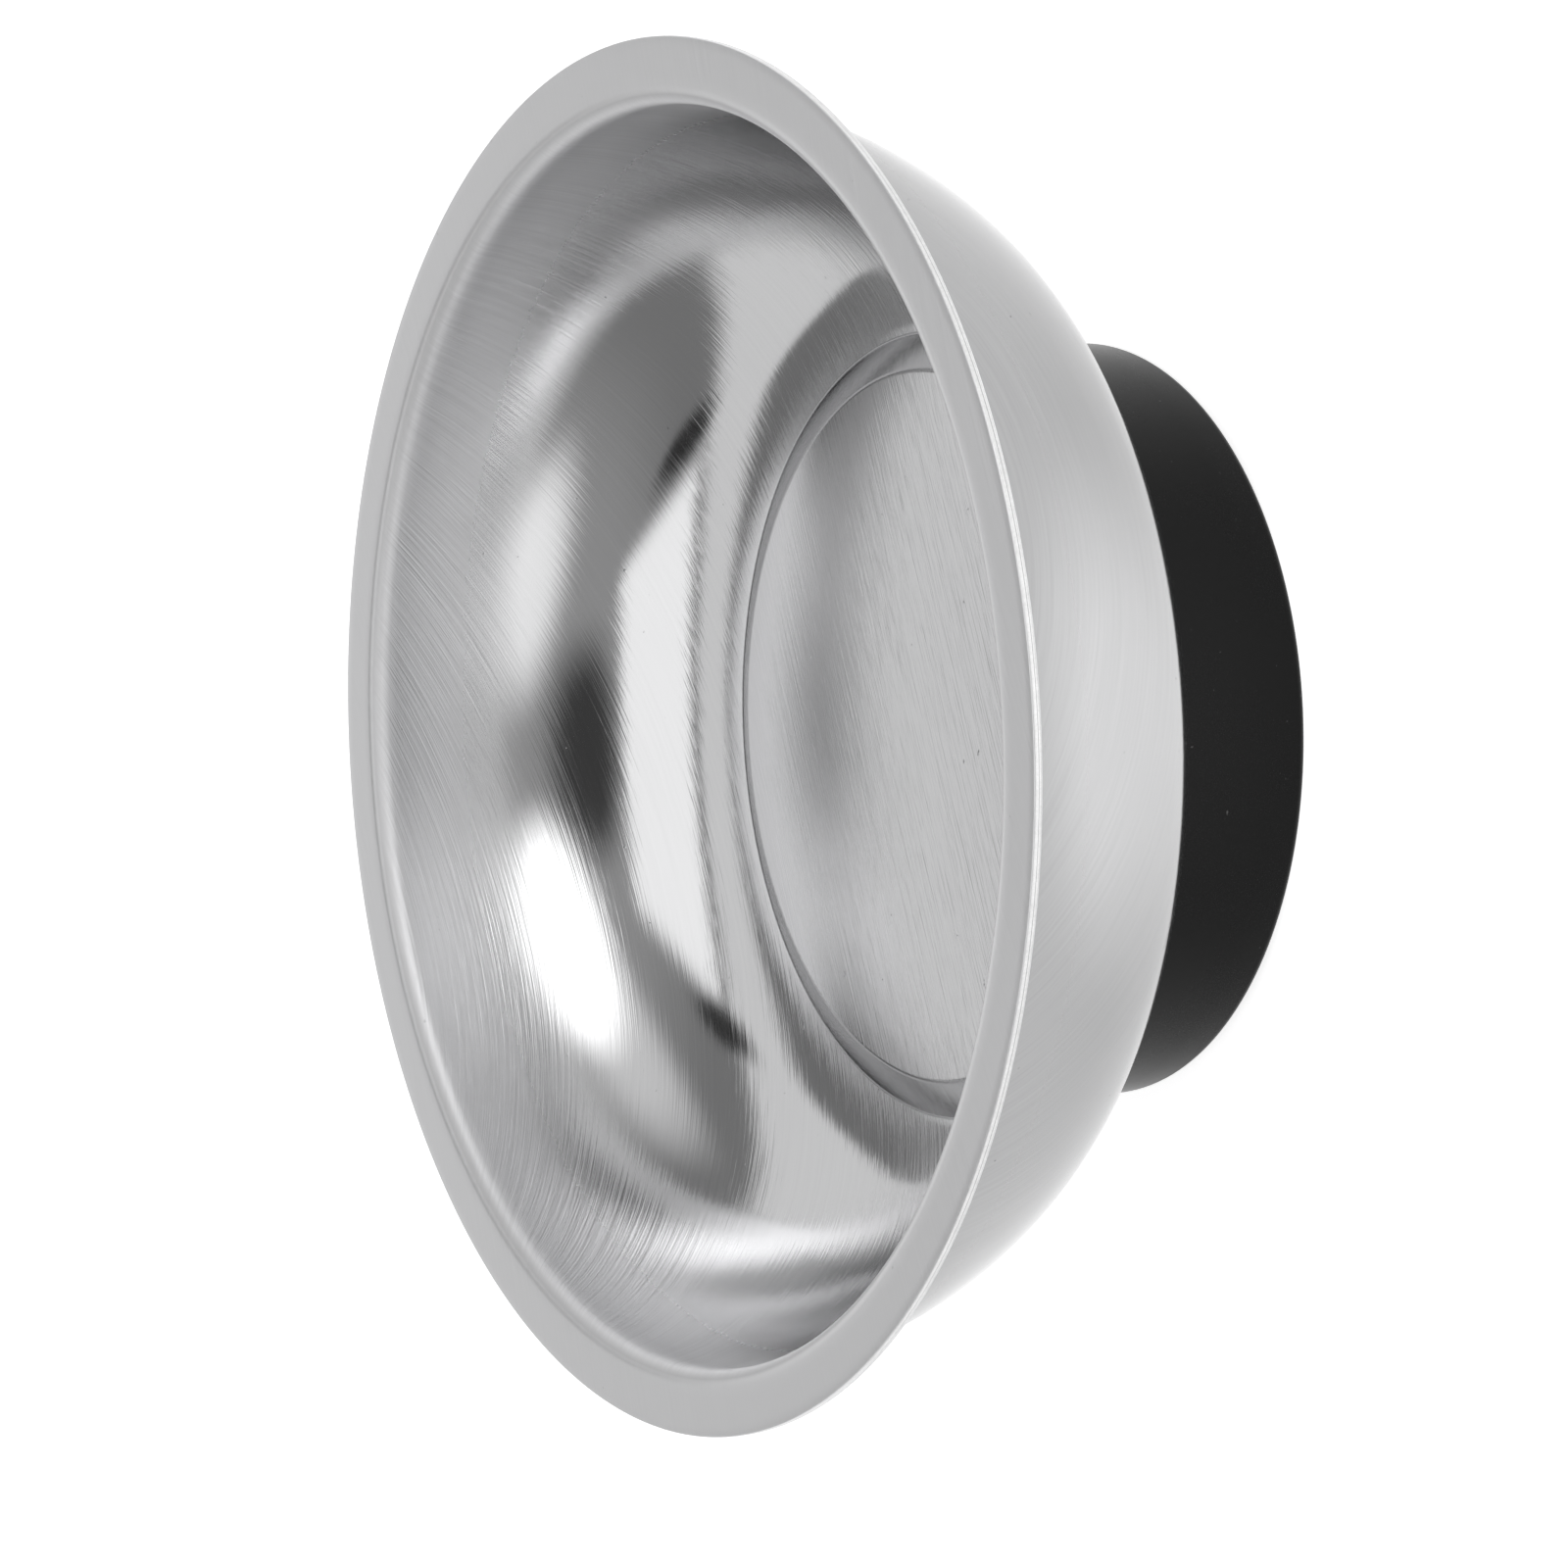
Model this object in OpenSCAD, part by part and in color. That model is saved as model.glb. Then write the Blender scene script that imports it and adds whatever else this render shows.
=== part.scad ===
// Magnetic parts sorting tray: a pressed steel bowl on a round magnet base.
// The bowl's axis is Z. The foot pad stands on z = 0 and the rim is the highest part.

/* [Bowl] */
// Outside diameter of the turned-out rim
rim_d = 108; // [92:1:132]
// Height from the underside of the floor to the top of the rim
bowl_depth = 26; // [22:0.5:32]
// Thickness of the steel sheet
sheet_t = 0.7; // [0.5:0.05:1.0]
// Width of the flat part of the rim
flange_w = 3.8; // [3:0.1:8]
// Radius under the rim where it bends into the wall
rim_bend_r = 0.7; // [0.4:0.1:2]
// Rounding on the trimmed edge of the rim
rim_edge_r = 0.12; // [0.05:0.01:0.2]
// Lean of the wall from upright just below the rim, in degrees
wall_draft = 2; // [1:0.5:8]
// Straight length of wall below the rim bend
wall_straight = 0.6; // [0.2:0.1:2]
// Slope at which the wall curve passes into the corner curve, in degrees
corner_break = 35; // [25:1:45]

/* [Plateau] */
// Rise of the plateau above the floor
plateau_rise = 1.5; // [1.2:0.1:2.5]
// How far the plateau's edge lies outside the magnet
plateau_margin = 0.6; // [0.5:0.1:1.5]
// How far the foot of the step lies outside the base
foot_margin = 1.1; // [0.9:0.1:2]
// How far the corner curve would run in past the foot of the step
corner_run_in = 2.4; // [1.5:0.1:3.5]
// Bend radius under the plateau's edge
plateau_bend_r = 0.5; // [0.3:0.1:0.8]
// Bend radius in the foot of the step
foot_bend_r = 0.6; // [0.3:0.1:1]

/* [Magnet base] */
// Outside diameter of the housing
base_d = 60; // [50:1:72]
// Height from the housing's lower edge to the level of the bowl's floor
base_h = 13.8; // [12.5:0.1:18]
// Thickness of the housing's side wall
housing_wall = 1.6; // [1.2:0.1:2.5]
// Thickness of the housing's floor under the magnet
housing_floor = 1.4; // [1:0.1:2]
// Rounding of the housing's lower edge
housing_edge_r = 0.8; // [0.3:0.1:1.1]
// Gap between the housing's upper edge and the step above it
seat_gap = 0.1; // [0.05:0.05:0.3]
// Gap all round between the magnet and the housing's wall
magnet_gap = 0.9; // [0.3:0.1:1.5]
// Bore of the ring magnet
magnet_bore_d = 25; // [22:1:30]
// Chamfer on the ring magnet's edges
magnet_chamfer = 0.5; // [0.2:0.1:1]
// Thickness of the foam ring on the magnet
cushion_t = 0.5; // [0.3:0.1:1]
// Foam ring's setback from both edges of the magnet
cushion_inset = 0.4; // [0.2:0.1:1]

/* [Fastening] */
// Thread diameter of the weld stud
stud_d = 5; // [4:0.5:6]
// Diameter of the stud's weld flange
stud_flange_d = 9; // [8:0.5:12]
// Thickness of the stud's weld flange
stud_flange_t = 1; // [0.6:0.1:1.5]
// Clearance round the stud in the boss and the flat washer
stud_clearance = 0.25; // [0.1:0.05:0.5]
// Chamfer on the stud's end
stud_chamfer = 0.5; // [0.2:0.1:0.8]
// Stud thread that shows below the nut
stud_show = 0.3; // [0:0.1:0.4]
// Gap between the central boss and the magnet's bore
boss_gap = 0.3; // [0.1:0.1:0.6]
// Wall of the central boss
boss_wall = 1.8; // [1.2:0.1:2.5]
// Thickness of the web that the washers bear on
boss_web = 2; // [1.5:0.1:3]
// Gap between the boss and the underside of the plateau
boss_top_gap = 1.4; // [1.2:0.1:2]
// Diameter of the flat washer
washer_d = 10; // [9:0.5:14]
// Thickness of the flat washer
washer_t = 1; // [0.8:0.1:1.6]
// Outside diameter of the spring washer
spring_d = 8.8; // [8:0.1:12]
// Thickness of the flattened spring washer
spring_t = 1.2; // [1:0.1:1.6]
// Split in the spring washer, in degrees
spring_split = 14; // [8:1:25]
// Width across the nut's flats
nut_af = 8; // [7:0.5:10]
// Height of the nut
nut_h = 4; // [3.2:0.1:5]
// Gap between the nut and the level of the housing's pad seat
nut_clear = 0.5; // [0.4:0.1:1]

/* [Foot pad] */
// How far the pad's edge lies inside the housing's edge
pad_inset = 3; // [2.6:0.1:6]
// Thickness of the rubber foot pad
pad_t = 1.5; // [1.2:0.1:2.5]
// How far the pad stands out below the housing
pad_proud = 0.4; // [0.2:0.1:0.8]
// Gap round the pad in its seat
pad_gap = 0.2; // [0.1:0.05:0.4]
// Rounding of the pad's lower edge
pad_edge_r = 0.3; // [0.1:0.05:0.6]
// Thickness of the tape ring that holds the pad
tape_t = 0.3; // [0.2:0.05:0.5]
// Setback of the tape ring from the pad's edge and the boss's opening
tape_inset = 1; // [0.5:0.1:2]

/* [Hidden] */
$fn = 96;

// Steps in each bend and in each long curve of the bowl's outline
bend_steps = 6;
curve_steps = 14;
edge_steps = 4;

// Levels, from the foot up
housing_z = pad_proud;
pad_seat_z = pad_t + tape_t;
magnet_z = pad_seat_z + housing_floor;
floor_z = housing_z + base_h;
rim_z = floor_z + bowl_depth;
plateau_under_z = floor_z + plateau_rise;
plateau_z = plateau_under_z + sheet_t;
magnet_top_z = plateau_under_z - cushion_t;
boss_top_z = plateau_under_z - boss_top_gap;
stud_end_z = pad_seat_z + nut_clear - stud_show;
nut_z = pad_seat_z + nut_clear;
spring_z = nut_z + nut_h;
washer_z = spring_z + spring_t;
web_z = washer_z + washer_t;

// Radii, from the axis out
base_r = base_d / 2;
magnet_r = base_r - housing_wall - magnet_gap;
magnet_bore_r = magnet_bore_d / 2;
boss_r = magnet_bore_r - boss_gap;
boss_hollow_r = boss_r - boss_wall;
plateau_r = magnet_r + plateau_margin;
foot_r = base_r + foot_margin;
corner_start_r = foot_r - corner_run_in;
flange_r = rim_d / 2 - flange_w;
stud_r = stud_d / 2;
stud_hole_r = stud_r + stud_clearance;
pad_r = base_r - pad_inset;

// The wall is two arcs, tangent to each other, to the straight wall and to the floor's level.
// Their two radii are what fits the height and the width between the rim bend and the floor.
bend_c = [flange_r, rim_z - sheet_t - rim_bend_r];
wall_top = bend_c - rim_bend_r * normal_at(wall_draft)
    - wall_straight * [sin(wall_draft), cos(wall_draft)];
wall_rise = wall_top[1] - floor_z;
wall_run = wall_top[0] - corner_start_r;
rise_a = sin(corner_break) - sin(wall_draft);
rise_b = 1 - sin(corner_break);
run_a = cos(wall_draft) - cos(corner_break);
run_b = cos(corner_break);
arcs_det = rise_a * run_b - rise_b * run_a;
wall_r = (wall_rise * run_b - rise_b * wall_run) / arcs_det;
corner_r = (rise_a * wall_run - run_a * wall_rise) / arcs_det;
wall_c = wall_top - wall_r * normal_at(wall_draft);
corner_c = [corner_start_r, floor_z + corner_r];

// The step from the plateau down to its foot, on the upper face of the sheet
foot_z = corner_c[1] - sqrt(pow(corner_r - sheet_t, 2) - pow(foot_r - corner_c[0], 2));
step_angle = atan2(plateau_z - foot_z, foot_r - plateau_r);
step_up = [sin(step_angle), cos(step_angle)];
step_down = [cos(step_angle), -sin(step_angle)];
plateau_bend_out = plateau_bend_r + sheet_t;
plateau_bend_c = [plateau_r - plateau_bend_out * tan(step_angle / 2), plateau_z - plateau_bend_out];

// The bend in the foot touches the step's line and the corner curve
foot_line = [foot_r, foot_z] + foot_bend_r * step_up;
foot_off = foot_line - corner_c;
foot_reach = corner_r - sheet_t - foot_bend_r;
foot_b = foot_off * step_down;
foot_slide = -foot_b + sqrt(foot_b * foot_b - foot_off * foot_off + foot_reach * foot_reach);
foot_c = foot_line + foot_slide * step_down;
foot_turn = atan2(foot_c[1] - corner_c[1], foot_c[0] - corner_c[0]);

// Outward normal of the wall where it slopes by this angle from upright
function normal_at(slope) = [cos(slope), -sin(slope)];

// Points on an arc, both ends included
function arc(c, r, from, to, steps) =
    [for (i = [0:steps]) c + r * [cos(from + (to - from) * i / steps), sin(from + (to - from) * i / steps)]];

// The same list of points, last one first
function back(points) = [for (i = [len(points) - 1:-1:0]) points[i]];

// One face of the bowl's sheet, from the plateau's edge to the rim bend.
// side is 0 on the upper and inner face and 1 on the lower and outer face.
function bowl_face(side) = concat(
    arc(plateau_bend_c, plateau_bend_out - side * sheet_t, 90, 90 - step_angle, bend_steps),
    arc(foot_c, foot_bend_r + side * sheet_t, -90 - step_angle, foot_turn, bend_steps),
    arc(corner_c, corner_r - (1 - side) * sheet_t, foot_turn, -corner_break, curve_steps),
    arc(wall_c, wall_r - (1 - side) * sheet_t, -corner_break, -wall_draft, curve_steps),
    arc(bend_c, rim_bend_r + (1 - side) * sheet_t, 180 - wall_draft, 90, bend_steps));

// Level of the step's underside at a given radius
function step_under(r) =
    plateau_z - (r - plateau_r) * tan(step_angle) - sheet_t / cos(step_angle);

// A ring of rectangular section with its edges chamfered
module chamfered_ring(inner_r, outer_r, height, chamfer) {
    rotate_extrude()
        polygon([
            [inner_r, chamfer], [inner_r + chamfer, 0], [outer_r - chamfer, 0], [outer_r, chamfer],
            [outer_r, height - chamfer], [outer_r - chamfer, height],
            [inner_r + chamfer, height], [inner_r, height - chamfer]
        ]);
}

// A plain ring
module ring(inner_r, outer_r, height) {
    difference() {
        cylinder(r = outer_r, h = height);
        translate([0, 0, -height / 2]) cylinder(r = inner_r, h = 2 * height);
    }
}

// Pressed sheet bowl: rim, wall, corner, and a plateau over the magnet
module bowl() {
    rim_r = rim_d / 2;
    edge_c = rim_r - rim_edge_r;
    color([0.77, 0.77, 0.78])
        rotate_extrude($fn = 180)
            polygon(concat(
                [[0, plateau_z]],
                bowl_face(0),
                arc([edge_c, rim_z - rim_edge_r], rim_edge_r, 90, 0, edge_steps),
                arc([edge_c, rim_z - sheet_t + rim_edge_r], rim_edge_r, 0, -90, edge_steps),
                back(bowl_face(1)),
                [[0, plateau_under_z]]));
}

// Threaded stud with a round flange that is welded under the plateau
module weld_stud() {
    flange_z = plateau_under_z - stud_flange_t;
    color([0.72, 0.70, 0.64]) {
        translate([0, 0, flange_z]) cylinder(d = stud_flange_d, h = stud_flange_t);
        translate([0, 0, stud_end_z + stud_chamfer])
            cylinder(r = stud_r, h = flange_z - stud_end_z - stud_chamfer);
        translate([0, 0, stud_end_z]) cylinder(r1 = stud_r - stud_chamfer, r2 = stud_r, h = stud_chamfer);
    }
}

// Foam ring between the magnet and the plateau
module magnet_cushion() {
    color([0.18, 0.18, 0.19])
        translate([0, 0, magnet_top_z])
            ring(magnet_bore_r + cushion_inset, magnet_r - cushion_inset, cushion_t);
}

// Ferrite ring magnet
module ring_magnet() {
    color([0.24, 0.24, 0.25])
        translate([0, 0, magnet_z])
            chamfered_ring(magnet_bore_r, magnet_r, magnet_top_z - magnet_z, magnet_chamfer);
}

// Moulded cup that holds the magnet, with a central boss for the stud
module magnet_housing() {
    inner_r = base_r - housing_wall;
    edge_c = base_r - housing_edge_r;
    color([0.10, 0.10, 0.11]) {
        // Side wall, whose upper edge follows the step above it
        rotate_extrude()
            polygon(concat(
                arc([edge_c, housing_z + housing_edge_r], housing_edge_r, -90, 0, bend_steps),
                [
                    [base_r, step_under(base_r) - seat_gap],
                    [inner_r, step_under(inner_r) - seat_gap],
                    [inner_r, magnet_z],
                    [boss_hollow_r, magnet_z],
                    [boss_hollow_r, pad_seat_z],
                    [pad_r + pad_gap, pad_seat_z],
                    [pad_r + pad_gap, housing_z]
                ]));
        // Boss, hollow above and below the web
        translate([0, 0, pad_seat_z]) ring(boss_hollow_r, boss_r, boss_top_z - pad_seat_z);
        translate([0, 0, web_z]) ring(stud_hole_r, boss_hollow_r, boss_web);
    }
}

// Flat washer under the boss's web
module flat_washer() {
    color([0.75, 0.75, 0.74])
        translate([0, 0, washer_z]) ring(stud_hole_r, washer_d / 2, washer_t);
}

// Split spring washer, flattened by the nut
module spring_washer() {
    color([0.35, 0.35, 0.36])
        translate([0, 0, spring_z])
            difference() {
                ring(stud_r + stud_clearance / 2, spring_d / 2, spring_t);
                rotate([0, 0, -spring_split / 2])
                    rotate_extrude(angle = spring_split)
                        translate([stud_r / 2, -spring_t]) square([spring_d, 3 * spring_t]);
            }
}

// Hexagon nut with its corners chamfered
module hex_nut() {
    corner = nut_af / 2 / cos(30);
    crown = (corner - nut_af / 2) * tan(30);
    color([0.75, 0.75, 0.74])
        translate([0, 0, nut_z])
            difference() {
                intersection() {
                    cylinder(r = corner, h = nut_h, $fn = 6);
                    rotate_extrude()
                        polygon([
                            [0, 0], [nut_af / 2, 0], [corner, crown],
                            [corner, nut_h - crown], [nut_af / 2, nut_h], [0, nut_h]
                        ]);
                }
                translate([0, 0, -nut_h / 2]) cylinder(r = stud_r, h = 2 * nut_h);
            }
}

// Tape ring that holds the foot pad in its seat
module pad_adhesive() {
    color([0.85, 0.83, 0.76])
        translate([0, 0, pad_t]) ring(boss_hollow_r + tape_inset, pad_r - tape_inset, tape_t);
}

// Rubber disc that the tray stands on
module foot_pad() {
    color([0.08, 0.08, 0.08])
        rotate_extrude()
            polygon(concat(
                [[0, 0]],
                arc([pad_r - pad_edge_r, pad_edge_r], pad_edge_r, -90, 0, bend_steps),
                [[pad_r, pad_t], [0, pad_t]]));
}

bowl();
weld_stud();
magnet_cushion();
ring_magnet();
magnet_housing();
flat_washer();
spring_washer();
hex_nut();
pad_adhesive();
foot_pad();
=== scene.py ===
from math import atan2, cos, hypot, pi, radians, sin, sqrt, tan

import bpy
from bpy.props import FloatProperty, FloatVectorProperty, IntProperty, PointerProperty
from mathutils import Matrix, Vector


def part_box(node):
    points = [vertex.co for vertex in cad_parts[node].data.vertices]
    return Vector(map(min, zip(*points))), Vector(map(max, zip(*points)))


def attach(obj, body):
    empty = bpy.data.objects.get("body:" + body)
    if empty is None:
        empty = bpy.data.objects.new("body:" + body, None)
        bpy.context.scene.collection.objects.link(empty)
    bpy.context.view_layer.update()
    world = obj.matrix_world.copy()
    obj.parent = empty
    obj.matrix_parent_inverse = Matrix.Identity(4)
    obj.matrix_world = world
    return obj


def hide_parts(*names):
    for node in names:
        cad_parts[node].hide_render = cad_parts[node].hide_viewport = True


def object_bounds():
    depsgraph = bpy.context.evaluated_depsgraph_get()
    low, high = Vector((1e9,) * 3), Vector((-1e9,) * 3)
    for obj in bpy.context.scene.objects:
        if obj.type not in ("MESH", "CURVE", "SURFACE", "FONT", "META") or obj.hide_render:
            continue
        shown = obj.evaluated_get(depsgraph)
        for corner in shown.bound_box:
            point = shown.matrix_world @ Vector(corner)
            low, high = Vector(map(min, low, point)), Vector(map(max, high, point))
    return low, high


bl_info = {
    "name": "Magnetic parts tray",
    "version": (1, 0, 0),
    "blender": (4, 5, 0),
    "location": "3D View > Sidebar > Parts Tray",
    "description": "Builds the finished look of a pressed steel parts tray on a magnet base",
    "category": "Object",
}

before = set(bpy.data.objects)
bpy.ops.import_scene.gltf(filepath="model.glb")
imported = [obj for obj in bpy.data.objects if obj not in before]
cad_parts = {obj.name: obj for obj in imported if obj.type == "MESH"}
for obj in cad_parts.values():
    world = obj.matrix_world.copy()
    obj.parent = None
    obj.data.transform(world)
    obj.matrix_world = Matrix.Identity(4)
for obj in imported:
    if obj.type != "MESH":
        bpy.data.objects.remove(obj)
cad_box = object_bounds()
MM = 0.001

WELD = 0.001 * MM
FULL_TURN = 2 * pi


# Sizes that a user would change

class BowlSettings(bpy.types.PropertyGroup):
    """Sizes of the pressed bowl that its box alone does not give"""

    sheet: FloatProperty(name="Sheet", description="Thickness of the steel sheet",
                         default=0.7 * MM, unit="LENGTH")
    flange: FloatProperty(name="Rim width", description="Width of the flat part of the rim",
                          default=3.8 * MM, unit="LENGTH")
    rim_bend: FloatProperty(name="Rim bend", description="Radius under the rim where it bends down",
                            default=0.7 * MM, unit="LENGTH")
    draft: FloatProperty(name="Wall lean", description="Lean of the wall just below the rim",
                         default=radians(2), subtype="ANGLE")
    edge_roll: FloatProperty(name="Edge roll", description="Roll-over on top of the trimmed edge",
                             default=0.12 * MM, unit="LENGTH")
    straight: FloatProperty(name="Straight wall", description="Straight wall below the rim bend",
                            default=0.6 * MM, unit="LENGTH")
    break_angle: FloatProperty(name="Corner start", description="Slope where the corner curve starts",
                               default=radians(35), subtype="ANGLE")
    plateau_rise: FloatProperty(name="Plateau rise", description="Rise of the plateau above the floor",
                                default=1.5 * MM, unit="LENGTH")
    plateau_margin: FloatProperty(name="Plateau margin",
                                  description="Plateau's edge outside the magnet",
                                  default=0.6 * MM, unit="LENGTH")
    foot_margin: FloatProperty(name="Foot margin", description="Foot of the step outside the base",
                               default=1.1 * MM, unit="LENGTH")
    run_in: FloatProperty(name="Corner run-in", description="Corner curve's run past the foot",
                          default=2.4 * MM, unit="LENGTH")
    plateau_bend: FloatProperty(name="Plateau bend", description="Bend under the plateau's edge",
                                default=0.5 * MM, unit="LENGTH")
    foot_bend: FloatProperty(name="Foot bend", description="Bend in the foot of the step",
                             default=0.6 * MM, unit="LENGTH")
    steps: IntProperty(name="Steps round", description="Faces round the bowl", default=256)
    grain_angle: FloatProperty(name="Grain", description="Direction of the brushing",
                               default=radians(70), subtype="ANGLE")


class HousingSettings(bpy.types.PropertyGroup):
    """Sizes of the moulded housing and the foot pad that their boxes alone do not give"""

    wall: FloatProperty(name="Wall", description="Thickness of the outer wall",
                        default=1.6 * MM, unit="LENGTH")
    edge: FloatProperty(name="Lower edge", description="Radius of the lower outer edge",
                        default=0.8 * MM, unit="LENGTH")
    seat_gap: FloatProperty(name="Seat gap", description="Gap to the bowl above",
                            default=0.1 * MM, unit="LENGTH")
    boss: FloatProperty(name="Boss", description="Outer radius of the boss",
                        default=12.2 * MM, unit="LENGTH")
    boss_wall: FloatProperty(name="Boss wall", description="Thickness of the boss",
                             default=1.8 * MM, unit="LENGTH")
    boss_top: FloatProperty(name="Boss top", description="Height of the boss",
                            default=14.3 * MM, unit="LENGTH")
    web: FloatProperty(name="Web", description="Thickness of the web that the washers clamp",
                       default=2.0 * MM, unit="LENGTH")
    stud_hole: FloatProperty(name="Stud hole", description="Radius of the hole for the stud",
                             default=2.75 * MM, unit="LENGTH")
    pad_gap: FloatProperty(name="Pad gap", description="Gap round the foot pad",
                           default=0.2 * MM, unit="LENGTH")
    pad_edge: FloatProperty(name="Pad edge", description="Radius of the foot pad's edges",
                            default=0.3 * MM, unit="LENGTH")
    steps: IntProperty(name="Steps round", description="Faces round the housing", default=192)
    pad_steps: IntProperty(name="Pad steps", description="Faces round the foot pad", default=160)


class StageSettings(bpy.types.PropertyGroup):
    """Where the camera stands and how it frames the tray"""

    distance: FloatProperty(name="Camera distance", description="From the middle of the rim",
                            default=0.5379, unit="LENGTH")
    elevation: FloatProperty(name="Camera elevation", description="Above the level of the rim",
                             default=radians(29.083), subtype="ANGLE")
    roll: FloatProperty(name="Camera roll", description="Turn of the picture",
                        default=radians(-92.87), subtype="ANGLE")
    aim: FloatVectorProperty(name="Aim", description="Aim point from the middle of the rim",
                             default=(-3.95 * MM, -4.69 * MM, -8.04 * MM), subtype="XYZ")
    lens: FloatProperty(name="Lens", description="Focal length in millimetres on a 36 mm sensor",
                        default=159.9)


# Selection and modelling helpers

def select_only(piece=None):
    """Leaves object mode with only this piece selected"""
    if bpy.context.object and bpy.context.object.mode != "OBJECT":
        bpy.ops.object.mode_set(mode="OBJECT")
    bpy.ops.object.select_all(action="DESELECT")
    if piece is not None:
        piece.select_set(True)
        bpy.context.view_layer.objects.active = piece


def arc(centre, radius, start, end, steps):
    """Points on an arc in the (radius, height) plane, both ends included"""
    turn = (end - start) / steps
    return [(centre[0] + radius * cos(start + turn * i), centre[1] + radius * sin(start + turn * i))
            for i in range(steps + 1)]


def revolve(name, outline, steps):
    """Draws an outline by extruding one point, then spins it round the Z axis"""
    select_only()
    first = outline[0]
    bpy.ops.mesh.primitive_plane_add(size=MM, location=(first[0], 0, first[1]))
    piece = bpy.context.object
    piece.name = piece.data.name = name
    bpy.ops.object.transform_apply(location=True, rotation=True, scale=True)
    bpy.ops.object.mode_set(mode="EDIT")
    bpy.ops.mesh.select_all(action="SELECT")
    bpy.ops.mesh.merge(type="CENTER")
    last = first
    for point in outline[1:]:
        step = (point[0] - last[0], 0, point[1] - last[1])
        bpy.ops.mesh.extrude_region_move(TRANSFORM_OT_translate={"value": step})
        last = point
    bpy.ops.mesh.select_all(action="SELECT")
    bpy.ops.mesh.spin(steps=steps, angle=FULL_TURN, center=(0, 0, 0), axis=(0, 0, 1))
    bpy.ops.mesh.select_all(action="SELECT")
    bpy.ops.mesh.remove_doubles(threshold=WELD)
    bpy.ops.mesh.normals_make_consistent(inside=False)
    bpy.ops.object.mode_set(mode="OBJECT")
    return piece


def smooth(piece, angle):
    """Smooth shading with sharp edges above this angle"""
    select_only(piece)
    bpy.ops.object.shade_smooth_by_angle(angle=angle)


def paint(piece, *materials):
    """Puts these materials in the piece's slots"""
    piece.data.materials.clear()
    for material in materials:
        piece.data.materials.append(material)


def place(piece, node):
    """Lets a finished piece stand for a node of the model"""
    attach(piece, "root")
    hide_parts(node)


# Shader maths

class Wire:
    """One socket, with Python's operators adding Math nodes"""

    def __init__(self, shader, socket):
        self.shader = shader
        self.socket = socket

    def maths(self, operation, *others):
        return self.shader.node("ShaderNodeMath", {"operation": operation},
                                {i: v for i, v in enumerate((self, *others))})["Value"]

    def __add__(self, other):
        return self.maths("ADD", other)

    def __sub__(self, other):
        return self.maths("SUBTRACT", other)

    def __mul__(self, other):
        return self.maths("MULTIPLY", other)

    def __truediv__(self, other):
        return self.maths("DIVIDE", other)

    def __pow__(self, other):
        return self.maths("POWER", other)

    __radd__ = __add__
    __rmul__ = __mul__

    def __rsub__(self, other):
        return (self * -1) + other


class Outputs:
    """The outputs of one node, by name"""

    def __init__(self, shader, made):
        self.shader = shader
        self.made = made

    def __getitem__(self, name):
        return Wire(self.shader, self.made.outputs[name])


class Nodes:
    """A node tree, and the ways of adding nodes to it"""

    def __init__(self, tree):
        self.tree = tree

    def node(self, kind, settings=None, sockets=None):
        made = self.tree.nodes.new(kind)
        for name, value in (settings or {}).items():
            if name == "stops":
                self.stops(made, value)
            else:
                setattr(made, name, value)
        for name, value in (sockets or {}).items():
            if isinstance(value, Wire):
                self.tree.links.new(value.socket, made.inputs[name])
            else:
                made.inputs[name].default_value = value
        return Outputs(self, made)

    @staticmethod
    def stops(ramp, stops):
        """Sets a colour ramp's stops from (place, grey) pairs"""
        elements = ramp.color_ramp.elements
        while len(elements) < len(stops):
            elements.new(0.5)
        for element, (at, grey) in zip(elements, stops):
            element.position = at
            element.color = (grey, grey, grey, 1)

    def ramp(self, factor, *stops):
        return self.node("ShaderNodeValToRGB", {"stops": stops}, {"Fac": factor})["Color"]

    def noise(self, vector, scale, detail=2.0, rough=0.5):
        return self.node("ShaderNodeTexNoise", {}, {
            "Vector": vector, "Scale": scale, "Detail": detail, "Roughness": rough})["Fac"]

    def stretched(self, vector, scale, turn=0.0):
        """The same coordinates, turned about Z and then scaled"""
        turned = self.node("ShaderNodeVectorRotate", {"rotation_type": "Z_AXIS"},
                           {"Vector": vector, "Angle": turn})["Vector"]
        return self.node("ShaderNodeVectorMath", {"operation": "MULTIPLY"},
                         {0: turned, 1: scale})["Vector"]

    def step(self, value, low, high):
        """Rises smoothly from 0 at low to 1 at high, or falls if low is above high"""
        return self.node("ShaderNodeMapRange", {"interpolation_type": "SMOOTHSTEP"}, {
            "Value": value, "From Min": low, "From Max": high})["Result"]

    def mix(self, factor, a, b):
        made = self.tree.nodes.new("ShaderNodeMix")
        made.data_type = "RGBA"
        for index, value in ((0, factor), (6, a), (7, b)):
            if isinstance(value, Wire):
                self.tree.links.new(value.socket, made.inputs[index])
            else:
                made.inputs[index].default_value = value
        return Wire(self, made.outputs[2])


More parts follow.
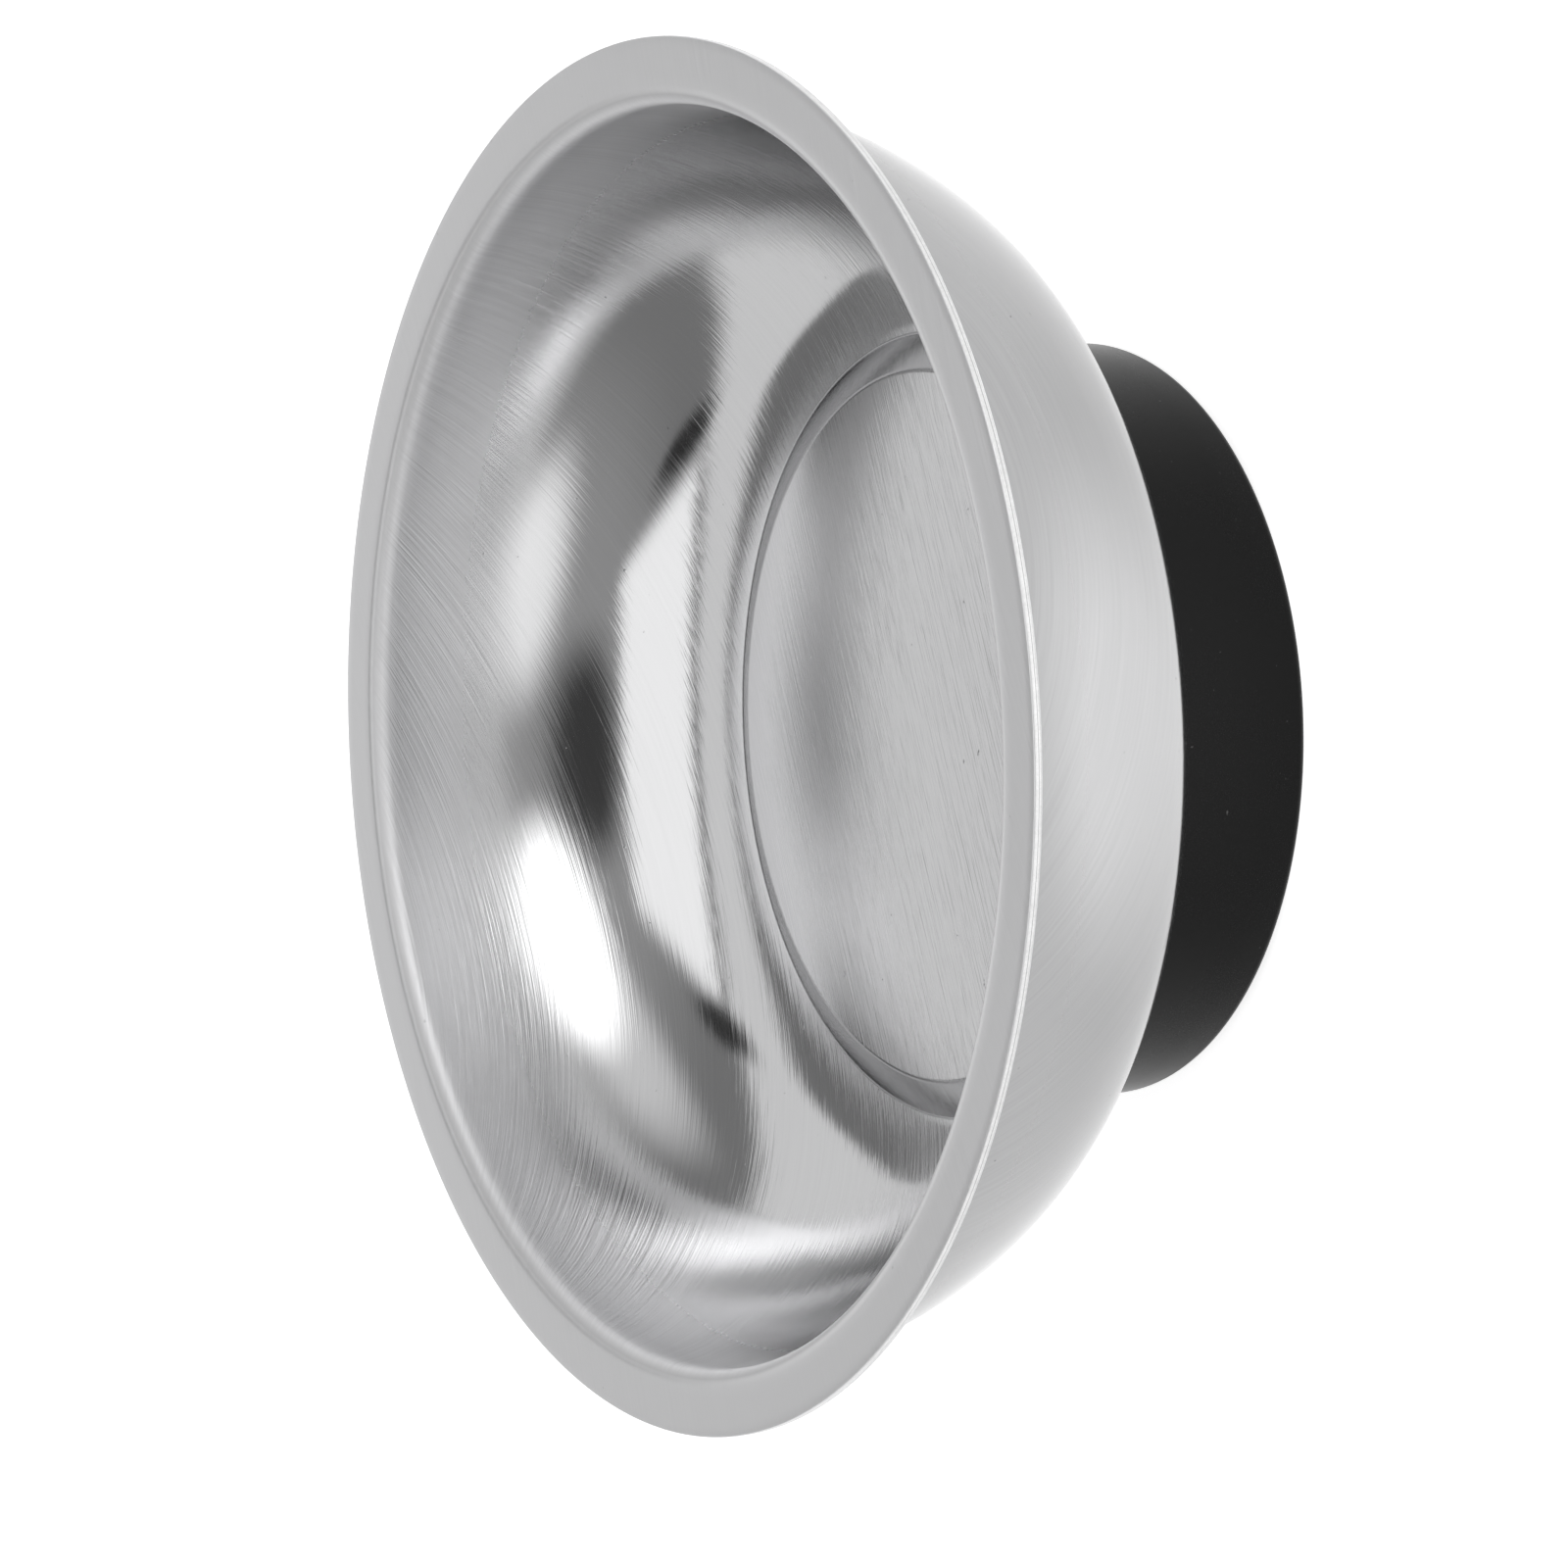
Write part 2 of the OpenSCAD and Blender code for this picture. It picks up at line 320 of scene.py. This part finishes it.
class Shader(Nodes):
    """One material and the nodes in it"""

    def __init__(self, name, **constants):
        self.material = bpy.data.materials.new(name)
        self.material.use_nodes = True
        super().__init__(self.material.node_tree)
        self.bsdf = self.tree.nodes["Principled BSDF"]
        for socket, value in constants.items():
            self.bsdf.inputs[socket.replace("_", " ")].default_value = value

    def place(self):
        """The piece's own coordinates, which are those of the whole tray"""
        return self.node("ShaderNodeTexCoord")["Object"]

    def tint(self, socket, tone, blue=1.0):
        """Drives a colour socket with a grey, a little bluer where blue is above 1"""
        colour = self.node("ShaderNodeCombineColor", {}, {
            "Red": tone, "Green": tone, "Blue": tone * blue})["Color"]
        self.drive(socket, colour)

    def drive(self, socket, wire):
        self.tree.links.new(wire.socket, self.bsdf.inputs[socket])

    def bump(self, *layers):
        """Stacks (height, distance in metres, strength) layers into the normal"""
        normal = None
        for height, distance, strength in layers:
            sockets = {"Height": height, "Distance": distance, "Strength": strength}
            if normal is not None:
                sockets["Normal"] = normal
            normal = self.node("ShaderNodeBump", {}, sockets)["Normal"]
        self.drive("Normal", normal)


def grey(value):
    return (value, value, value, 1.0)


# Finishes

DRAWN_FROM = 26 * MM
DRAWN_TO = 37 * MM
SCRATCH_SKEW = 0.1
COOL = 1.01


def brushed_steel(name, turn, tone, painted_scatter_tone, grain=1.0):
    """Sheet brushed in one direction before it was pressed, read from the flat sheet's map.

    The press stretched the wall, so it is duller towards the rim than in the middle; its paler tone there
    and its brighter hairlines are painted highlight standing in for lamp light scattered by the brushing.
    """
    s = Shader(name, Metallic=1.0)
    flat = s.node("ShaderNodeUVMap", {"uv_map": "flat_sheet"})["UV"]
    at = s.place()

    def brushing(across, along, detail, rough, skew=0.0):
        """Noise drawn out into lines, from its fineness per metre across and along the brushing"""
        return s.noise(s.stretched(flat, (across, along, 1.0), turn + skew), 1.0, detail, rough)

    fine = brushing(9000.0, 130.0, 2.0, 0.6)
    hair = brushing(3200.0, 45.0, 3.0, 0.6)
    broad = brushing(520.0, 16.0, 3.0, 0.6)
    scratch = s.ramp(brushing(1500.0, 22.0, 2.0, 0.5, SCRATCH_SKEW), (0.72, 0.0), (0.80, 1.0))
    cloud = s.noise(at, 55.0, 3.0, 0.55)
    pits = s.ramp(s.noise(at, 1300.0, 2.0, 0.5), (0.76, 0.0), (0.82, 1.0))

    height = s.node("ShaderNodeSeparateXYZ", {}, {"Vector": at})["Z"]
    rim = cad_box[1].z
    rise = s.step(height, DRAWN_FROM, DRAWN_TO)
    drawn = rise * s.step(height, rim - 0.1 * MM, rim - 0.8 * MM)
    below_flat = s.step(height, rim - 0.01 * MM, rim - 0.2 * MM)
    bend = s.step(height, rim - 2.2 * MM, rim - 1.0 * MM) * below_flat
    flat_rim = s.step(height, rim - 0.2 * MM, rim - 0.03 * MM)

    # Painted highlight: on the drawn wall the paler tone and the brighter hairlines stand in for lamp
    # light scattered by the brushing; the sheet's own tone, faint hairlines, cloud and dark pits make up
    # the rest.
    hair_tone_and_painted_glints = (0.05 + 0.16 * grain * drawn) * hair
    tone = tone + painted_scatter_tone * drawn + 0.16 * flat_rim + hair_tone_and_painted_glints + 0.03 * cloud - 0.15 * pits
    s.tint("Base Color", tone, COOL)
    polish = 0.06 + 0.05 * hair + 0.03 * cloud
    s.drive("Roughness", polish + 0.28 * rise + 0.20 * bend + 0.10 * scratch)
    lines = grain * (0.65 + 1.5 * drawn)
    s.bump(
        (fine, 0.008 * MM * lines, 1.0),
        (hair, 0.016 * MM * lines, 1.0),
        (broad, 0.009 * MM * lines, 1.0),
        (scratch, 0.004 * MM, 1.0),
        (pits, -0.01 * MM, 1.0),
    )
    return s.material


def sheared_edge():
    """Trimmed edge of the sheet: a burnished band over a rough, torn one"""
    s = Shader("sheared_edge", Metallic=1.0)
    at = s.place()
    streak = s.noise(s.stretched(at, (900.0, 900.0, 90.0)), 1.0, 3.0, 0.6)
    grit = s.noise(at, 5200.0, 3.0, 0.7)
    s.tint("Base Color", 0.42 + 0.14 * streak + 0.30 * grit)
    s.drive("Roughness", 0.34 + 0.25 * grit)
    s.bump((streak, 0.03 * MM, 1.0), (grit, 0.03 * MM, 1.0))
    return s.material


def black_moulding():
    """Semi-gloss black moulding with a faint grain, cloudy gloss and a little dust"""
    s = Shader("black_moulding", Specular_IOR_Level=0.1)
    at = s.place()
    grain = s.noise(at, 2600.0, 3.0, 0.6)
    cloud = s.noise(at, 70.0, 3.0, 0.55)
    dust = s.ramp(s.noise(at, 1500.0, 2.0, 0.5), (0.74, 0.0), (0.80, 1.0))
    s.drive("Base Color", s.mix(dust, grey(0.003), grey(0.06)))
    s.drive("Roughness", 0.20 + 0.10 * cloud + 0.06 * grain)
    s.bump((grain, 0.004 * MM, 0.6))
    return s.material


def matte_rubber():
    """Matte black rubber"""
    s = Shader("rubber_pad", Roughness=0.7)
    at = s.place()
    grain = s.noise(at, 1800.0, 4.0, 0.7)
    cloud = s.noise(at, 90.0, 3.0, 0.6)
    s.drive("Base Color", s.mix(cloud, grey(0.014), grey(0.026)))
    s.drive("Roughness", 0.62 + 0.15 * grain)
    s.bump((grain, 0.02 * MM, 0.7))
    return s.material


def plain_metal(name, low, high, roughness):
    """Small steel hardware: slightly cloudy and finely scratched"""
    s = Shader(name, Metallic=1.0)
    at = s.place()
    cloud = s.noise(at, 400.0, 3.0, 0.6)
    scratch = s.noise(s.stretched(at, (4000.0, 600.0, 600.0)), 1.0, 3.0, 0.6)
    s.drive("Base Color", s.mix(cloud, grey(low), grey(high)))
    s.drive("Roughness", roughness + 0.12 * scratch)
    s.bump((scratch, 0.006 * MM, 0.7))
    return s.material


def dull_solid(name, low, high, roughness, grain_size):
    """Foam, ferrite and tape: a dull, grainy solid"""
    s = Shader(name)
    at = s.place()
    grain = s.noise(at, grain_size, 4.0, 0.7)
    s.drive("Base Color", s.mix(grain, grey(low), grey(high)))
    s.drive("Roughness", roughness + 0.1 * grain)
    s.bump((grain, 0.03 * MM, 0.7))
    return s.material


# The bowl's outline, in (radius, height)

TEAR = 0.05 * MM
BURR = 0.03 * MM


def normal_at(slope):
    """Direction square to the sheet where it slopes this much from upright"""
    return Vector((cos(slope), -sin(slope)))


class BowlShape:
    """The tangent arcs of the bowl's section, worked out from its settings and the frame"""

    def __init__(self, s):
        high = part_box("bowl")[1]
        self.sheet = s.sheet
        self.roll = s.edge_roll
        self.rim_r = high.x
        self.rim_z = high.z
        magnet_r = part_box("ring_magnet")[1].x
        base_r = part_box("magnet_housing")[1].x
        self.under_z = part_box("magnet_cushion")[1].z
        self.top_z = self.under_z + s.sheet
        floor_z = self.under_z - s.plateau_rise
        self.plateau_r = magnet_r + s.plateau_margin
        self.foot_r = base_r + s.foot_margin
        start_r = self.foot_r - s.run_in
        self.rim_bend = s.rim_bend
        self.draft = s.draft
        self.corner_slope = s.break_angle

        # wall and corner curves: both radii follow from the rise and the run that they share
        self.bend_c = Vector((self.rim_r - s.flange, self.rim_z - s.sheet - s.rim_bend))
        top = self.bend_c - s.rim_bend * normal_at(s.draft)
        top -= s.straight * Vector((sin(s.draft), cos(s.draft)))
        rise = top.y - floor_z
        run = top.x - start_r
        rise_a = sin(self.corner_slope) - sin(self.draft)
        rise_b = 1 - sin(self.corner_slope)
        run_a = cos(self.draft) - cos(self.corner_slope)
        run_b = cos(self.corner_slope)
        spread = rise_a * run_b - rise_b * run_a
        self.wall_r = (rise * run_b - rise_b * run) / spread
        self.corner_r = (rise_a * run - run_a * rise) / spread
        self.wall_c = top - self.wall_r * normal_at(self.draft)
        self.corner_c = Vector((start_r, floor_z + self.corner_r))

        # step round the plateau, with a bend at its top edge and one at its foot
        inner = self.corner_r - s.sheet
        foot_z = self.corner_c.y - sqrt(inner ** 2 - (self.foot_r - start_r) ** 2)
        self.step = atan2(self.top_z - foot_z, self.foot_r - self.plateau_r)
        self.edge_bend = s.plateau_bend + s.sheet
        self.edge_c = Vector((self.plateau_r - self.edge_bend * tan(self.step / 2),
                              self.top_z - self.edge_bend))
        self.foot_bend = s.foot_bend
        down = Vector((cos(self.step), -sin(self.step)))
        line = Vector((self.foot_r, foot_z)) + s.foot_bend * Vector((sin(self.step), cos(self.step)))
        off = line - self.corner_c
        slope = off.dot(down)
        slide = -slope + sqrt(slope ** 2 - off.dot(off) + (inner - s.foot_bend) ** 2)
        self.foot_c = line + slide * down
        self.foot_turn = atan2(self.foot_c.y - self.corner_c.y, self.foot_c.x - self.corner_c.x)

    def face(self, side):
        """One face of the sheet: side 0 is the upper and inner face, 1 the lower and outer"""
        thick = side * self.sheet
        thin = (1 - side) * self.sheet
        return [
            *arc(self.edge_c, self.edge_bend - thick, pi / 2, pi / 2 - self.step, 8),
            *arc(self.foot_c, self.foot_bend + thick, -pi / 2 - self.step, self.foot_turn, 8)[:-1],
            *arc(self.corner_c, self.corner_r - thin, self.foot_turn, -self.corner_slope, 24)[:-1],
            *arc(self.wall_c, self.wall_r - thin, -self.corner_slope, -self.draft, 20),
            *arc(self.bend_c, self.rim_bend + thin, pi - self.draft, pi / 2, 10),
        ]

    def step_under(self, r):
        """Height of the underside of the plateau's step"""
        return self.top_z - (r - self.plateau_r) * tan(self.step) - self.sheet / cos(self.step)

    def level(self, z, start, end, steps):
        """Points along a flat part of the section"""
        return [(start + (end - start) * i / steps, z) for i in range(1, steps)]

    def trimmed_edge(self):
        """The sheared edge: rolled over on top, a burnished band, then torn back, then a burr"""
        r, z, t, roll = self.rim_r, self.rim_z, self.sheet, self.roll
        burnished_to = z - 0.50 * t
        torn_from = z - 0.62 * t
        return [
            *arc((r - roll, z - roll), roll, pi / 2, 0, 5),
            (r, burnished_to),
            (r - TEAR, torn_from),
            (r - TEAR, z - t + 2 * BURR),
            (r - BURR, z - t + BURR),
            (r - 2 * BURR, z - t),
        ]

    def outline(self):
        """The whole closed section, from the middle of the plateau round to its underside"""
        upper = self.face(0)
        lower = self.face(1)
        return [
            (0, self.top_z),
            *self.level(self.top_z, 0, upper[0][0], 12),
            *upper,
            *self.level(self.rim_z, upper[-1][0], self.rim_r - self.roll, 5),
            *self.trimmed_edge(),
            *self.level(self.rim_z - self.sheet, self.rim_r, lower[-1][0], 5),
            *reversed(lower),
            *self.level(self.under_z, lower[0][0], 0, 12),
            (0, self.under_z),
        ]


AXIS = 0.01 * MM


def flat_sheet_map(piece, outline):
    """Maps every corner to where its steel lay in the flat sheet, before the press drew it"""
    middle = max(range(len(outline)), key=lambda i: outline[i][0])
    reaches = []
    for part in (outline[:middle + 1], outline[:middle:-1]):
        travelled = 0.0
        last = part[0]
        for point in part:
            travelled += hypot(point[0] - last[0], point[1] - last[1])
            reaches.append((point, travelled))
            last = point
    known = {}

    def stretch_at(co):
        r = hypot(co.x, co.y)
        key = (round(r / MM, 3), round(co.z / MM, 3))
        if key not in known:
            near = min(reaches, key=lambda item: hypot(item[0][0] - r, item[0][1] - co.z))
            known[key] = near[1] / r if r > AXIS else 0.0
        return known[key]

    layer = piece.data.uv_layers.new(name="flat_sheet")
    for loop in piece.data.loops:
        co = piece.data.vertices[loop.vertex_index].co
        stretch = stretch_at(co)
        layer.data[loop.index].uv = (co.x * stretch, co.y * stretch)


# Operators, one for each piece or group of like pieces

class TRAY_OT_bowl(bpy.types.Operator):
    """Pressed bowl: draws its section and spins it"""
    bl_idname = "tray.bowl"
    bl_label = "Bowl"

    def execute(self, context):
        settings = context.scene.tray_bowl
        shape = BowlShape(settings)
        outline = shape.outline()
        bowl = revolve("bowl_pressed", outline, settings.steps)
        flat_sheet_map(bowl, outline)
        turn = settings.grain_angle
        # The inner face's paler drawn wall is painted highlight, standing in for lamp light scattered by
        # its brushing.
        inside = brushed_steel("brushed_sheet", turn, tone=0.56, painted_scatter_tone=0.22)
        # The outer face is the same sheet given a darker tone: painted shade standing in for the shade
        # under the bowl.
        outside = brushed_steel("brushed_underside_painted_shade", turn, tone=0.28, painted_scatter_tone=0.0, grain=0.3)
        paint(bowl, inside, sheared_edge(), outside)
        edge_slot = 1
        outside_slot = 2
        edge_from = shape.rim_r - 0.2 * MM
        for face in bowl.data.polygons:
            inward = face.normal.x * face.center.x + face.normal.y * face.center.y < 0
            if face.normal.z < -0.01 and not inward:
                face.material_index = outside_slot
            upright = abs(face.normal.z) < 0.35
            if upright and hypot(face.center.x, face.center.y) > edge_from:
                face.material_index = edge_slot
        smooth(bowl, radians(40))
        place(bowl, "bowl")
        return {"FINISHED"}


class TRAY_OT_housing(bpy.types.Operator):
    """Black moulded housing: outer wall, pad recess, floor, boss and clamping web in one section"""
    bl_idname = "tray.housing"
    bl_label = "Magnet housing"

    def execute(self, context):
        h = context.scene.tray_housing
        shape = BowlShape(context.scene.tray_bowl)
        low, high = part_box("magnet_housing")
        magnet_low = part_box("ring_magnet")[0].z
        pad_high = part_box("foot_pad")[1]
        tape_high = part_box("pad_adhesive")[1].z
        web_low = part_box("flat_washer")[1].z
        web_top = web_low + h.web
        outer = high.x
        inner = outer - h.wall
        recess = pad_high.x + h.pad_gap
        hollow = h.boss - h.boss_wall
        outline = [
            (h.stud_hole, web_low),
            (hollow, web_low),
            (hollow, tape_high),
            (recess, tape_high),
            (recess, low.z),
            *arc((outer - h.edge, low.z + h.edge), h.edge, -pi / 2, 0, 8),
            *[(outer, z) for z in (4 * MM, 8 * MM, 12 * MM)],
            (outer, shape.step_under(outer) - h.seat_gap),
            (inner, shape.step_under(inner) - h.seat_gap),
            (inner, magnet_low),
            (h.boss, magnet_low),
            (h.boss, h.boss_top),
            (hollow, h.boss_top),
            (hollow, web_top),
            (h.stud_hole, web_top),
        ]
        housing = revolve("housing_moulded", [*outline, outline[0]], h.steps)
        paint(housing, black_moulding())
        smooth(housing, radians(35))
        place(housing, "magnet_housing")
        return {"FINISHED"}


class TRAY_OT_pad(bpy.types.Operator):
    """Rubber foot pad with rounded edges, and the tape that holds it"""
    bl_idname = "tray.pad"
    bl_label = "Foot pad"

    def execute(self, context):
        low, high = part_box("foot_pad")
        settings = context.scene.tray_housing
        edge = settings.pad_edge
        outline = [
            (0, low.z),
            *[(high.x * part, low.z) for part in (0.25, 0.5, 0.75)],
            *arc((high.x - edge, low.z + edge), edge, -pi / 2, 0, 6),
            *arc((high.x - edge, high.z - edge), edge, 0, pi / 2, 6),
            *[(high.x * part, high.z) for part in (0.75, 0.5, 0.25)],
            (0, high.z),
        ]
        pad = revolve("foot_pad_moulded", outline, settings.pad_steps)
        paint(pad, matte_rubber())
        smooth(pad, radians(35))
        place(pad, "foot_pad")
        paint(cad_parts["pad_adhesive"], dull_solid("tape", 0.5, 0.6, 0.5, 900.0))
        return {"FINISHED"}


class TRAY_OT_magnet(bpy.types.Operator):
    """Ring magnet and its foam cushion"""
    bl_idname = "tray.magnet"
    bl_label = "Ring magnet"

    def execute(self, context):
        paint(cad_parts["ring_magnet"], dull_solid("ferrite", 0.03, 0.06, 0.45, 1500.0))
        paint(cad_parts["magnet_cushion"], dull_solid("foam", 0.03, 0.07, 0.8, 3000.0))
        return {"FINISHED"}


class TRAY_OT_fastening(bpy.types.Operator):
    """Weld stud, washers and nut"""
    bl_idname = "tray.fastening"
    bl_label = "Stud, washers and nut"

    def execute(self, context):
        zinc = plain_metal("zinc", 0.5, 0.62, 0.25)
        paint(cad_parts["weld_stud"], plain_metal("stud_steel", 0.4, 0.5, 0.3))
        paint(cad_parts["flat_washer"], zinc)
        paint(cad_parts["hex_nut"], zinc)
        paint(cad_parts["spring_washer"], plain_metal("spring_steel", 0.1, 0.16, 0.35))
        return {"FINISHED"}


# The studio: how bright each part of the light tent is

SIDES = 0.25
FRONT = 0.40
HORIZON = 0.80
BACK = 0.90
CEILING = 1.35
SEAM = 0.06
BACKDROP = 0.9

# Where the lit parts end, as the run to the side or to the back for each metre of rise
CEILING_SIDE = 0.58
CEILING_FRONT = -0.62
CEILING_BACK = 0.145
SEAM_SIDE = 0.5
SEAM_BACK = 0.205

# Where the back wall ends, as the run to the side and the rise for each metre to the back
BACK_SIDE = 2.6
BACK_TOP_FROM = 4.6
BACK_TOP_TO = 5.2

# Where the light fades from the back to the front, and from the horizon upwards
FRONT_FROM = 0.1
FRONT_TO = -0.6
HORIZON_FROM = 0.24
HORIZON_TO = 0.12

# Soft panels on the tent, each laid over the ones before it: brightness, compass direction (0 is behind
# the tray and 90 to its right), elevation, half width and half height in degrees, softness, squareness
PANELS = {
    "gap over the back wall": (0.22, 0, 47, 24, 11.5, 0.06, 5.0),
    "left end of the gap": (0.22, -19, 36, 9, 9, 0.06, 5.0),
    "right end of the gap": (0.22, 19, 36, 9, 9, 0.06, 5.0),
    "left corner of the ceiling": (0.03, -86, 53.5, 11, 3.4, 0.3, 2.0),
    "right corner of the ceiling": (0.03, 77, 56.5, 10, 3.6, 0.3, 2.0),
    "dark opening in front": (0.06, 178, 41, 18, 13, 0.4, 2.0),
    "left lamp": (1.25, -147, 19, 22, 9, 0.5, 2.0),
    "spill of the right lamp": (0.85, 116, 25, 24, 11, 0.6, 2.0),
    "right lamp": (2.8, 141, 22, 20, 11, 0.5, 2.0),
}

FLOOR_SIZE = 6.0
FLOOR_DROP = 0.02 * MM
FLOOR_GLOW = 0.8
# Painted pool of light: a brighter patch of the floor's glow in front of the tray, which the bowl's
# outside reflects
PAINTED_POOL_GLOW = 0.7
SPOT_PLACE = (0, -60 * MM, 0)
SPOT_EDGE = 45 * MM
SPOT_CORE = 10 * MM


class TRAY_OT_stage(bpy.types.Operator):
    """Floor, light tent and camera"""
    bl_idname = "tray.stage"
    bl_label = "Stage"

    def execute(self, context):
        scene = context.scene
        self.floor()
        self.world(scene)
        self.camera(scene, scene.tray_stage)
        scene.view_settings.view_transform = "Standard"
        return {"FINISHED"}

    def floor(self):
        """Pale floor a hair below the foot pad, so that the two flat faces never share a plane"""
        select_only()
        bpy.ops.mesh.primitive_plane_add(size=FLOOR_SIZE, location=(0, 0, -FLOOR_DROP))
        floor = bpy.context.object
        floor.name = "floor"
        s = Shader("floor", Roughness=0.9, Base_Color=grey(0.8), Emission_Strength=1.0)
        away = s.node("ShaderNodeVectorMath", {"operation": "DISTANCE"},
                      {0: s.place(), 1: SPOT_PLACE})["Value"]
        # Even glow over the whole floor, plus the painted pool of light round the spot in front of the
        # tray
        s.tint("Emission Color", FLOOR_GLOW + PAINTED_POOL_GLOW * s.step(away, SPOT_EDGE, SPOT_CORE))
        paint(floor, s.material)

    def world(self, scene):
        """A light tent: lit ceiling with a dark seam, pale back, dull sides and front, soft panels"""
        world = scene.world or bpy.data.worlds.new("studio")
        scene.world = world
        world.use_nodes = True
        sky = Nodes(world.node_tree)
        way = sky.node("ShaderNodeTexCoord")["Generated"]
        split = sky.node("ShaderNodeSeparateXYZ", {}, {"Vector": way})
        x, y, z = split["X"], split["Y"], split["Z"]
        behind = y.maths("GREATER_THAN", 0.0)
        above = z.maths("GREATER_THAN", 0.0)

        def between(value, low, high, soft):
            return sky.step(value, low - soft, low + soft) * sky.step(value, high + soft, high - soft)

        def blend(under, over, mask):
            return under + (over - under) * mask

        def panel(azimuth, elevation, wide, high, soft, square):
            """Mask of a soft-edged panel seen towards a compass direction, all in radians"""
            level = cos(elevation)
            centre = Vector((sin(azimuth) * level, cos(azimuth) * level, sin(elevation)))
            right = Vector((cos(azimuth), -sin(azimuth), 0))
            up = right.cross(centre)

            def along(axis):
                return sky.node("ShaderNodeVectorMath", {"operation": "DOT_PRODUCT"},
                                {0: way, 1: axis})["Value"]

            front = along(centre)
            across = (along(right) / front / tan(wide)).maths("ABSOLUTE") ** square
            upward = (along(up) / front / tan(high)).maths("ABSOLUTE") ** square
            reach = (across + upward) ** (1 / square)
            return sky.step(reach, 1 + soft, 1 - soft) * front.maths("GREATER_THAN", 0.0)

        light = blend(SIDES, FRONT, sky.step(y, FRONT_FROM, FRONT_TO))
        light = blend(light, HORIZON, sky.step(z, HORIZON_FROM, HORIZON_TO))
        back = between(x / y, -BACK_SIDE, BACK_SIDE, 0.2) * sky.step(z / y, BACK_TOP_TO, BACK_TOP_FROM)
        light = blend(light, BACK, back * behind)
        ceiling = between(x / z, -CEILING_SIDE, CEILING_SIDE, 0.07)
        ceiling = ceiling * between(y / z, CEILING_FRONT, CEILING_BACK, 0.012)
        light = blend(light, CEILING, ceiling * above)
        seam = between(y / z, CEILING_BACK, SEAM_BACK, 0.01) * between(x / z, -SEAM_SIDE, SEAM_SIDE, 0.07)
        light = blend(light, SEAM, seam * above)
        for bright, azimuth, elevation, wide, high, soft, square in PANELS.values():
            mask = panel(radians(azimuth), radians(elevation), radians(wide), radians(high), soft, square)
            light = blend(light, bright, mask)
        light = blend(light, BACKDROP, sky.node("ShaderNodeLightPath")["Is Camera Ray"])

        background = world.node_tree.nodes["Background"]
        world.node_tree.links.new(light.socket, background.inputs["Strength"])
        background.inputs["Color"].default_value = grey(1.0)

    def camera(self, scene, settings):
        """Camera in front of the tray and above its rim, with the picture turned on its side"""
        middle = Vector((0, 0, cad_box[1].z))
        back = Vector((0, -cos(settings.elevation), sin(settings.elevation)))
        bpy.ops.object.camera_add(location=middle + settings.distance * back)
        camera = bpy.context.object
        aim = middle + Vector(settings.aim) - camera.location
        turn = aim.to_track_quat("-Z", "Y").to_matrix() @ Matrix.Rotation(settings.roll, 3, "Z")
        camera.rotation_euler = turn.to_euler()
        camera.data.lens = settings.lens
        camera.data.sensor_width = 36.0
        camera.data.clip_start = 0.01
        camera.data.clip_end = 20.0
        scene.camera = camera


class TRAY_PT_panel(bpy.types.Panel):
    """Lists the steps in the order they are made"""
    bl_label = "Parts Tray"
    bl_idname = "TRAY_PT_panel"
    bl_space_type = "VIEW_3D"
    bl_region_type = "UI"
    bl_category = "Parts Tray"

    def draw(self, context):
        for step in STEPS:
            self.layout.operator(step.bl_idname)


STEPS = (TRAY_OT_bowl, TRAY_OT_housing, TRAY_OT_pad, TRAY_OT_magnet, TRAY_OT_fastening, TRAY_OT_stage)
CLASSES = (BowlSettings, HousingSettings, StageSettings, *STEPS, TRAY_PT_panel)


def register():
    for cls in CLASSES:
        bpy.utils.register_class(cls)
    bpy.types.Scene.tray_bowl = PointerProperty(type=BowlSettings)
    bpy.types.Scene.tray_housing = PointerProperty(type=HousingSettings)
    bpy.types.Scene.tray_stage = PointerProperty(type=StageSettings)


def unregister():
    del bpy.types.Scene.tray_stage
    del bpy.types.Scene.tray_housing
    del bpy.types.Scene.tray_bowl
    for cls in reversed(CLASSES):
        bpy.utils.unregister_class(cls)


def main():
    register()
    bpy.ops.tray.bowl()
    bpy.ops.tray.housing()
    bpy.ops.tray.pad()
    bpy.ops.tray.magnet()
    bpy.ops.tray.fastening()
    bpy.ops.tray.stage()


if __name__ == "__main__":
    main()
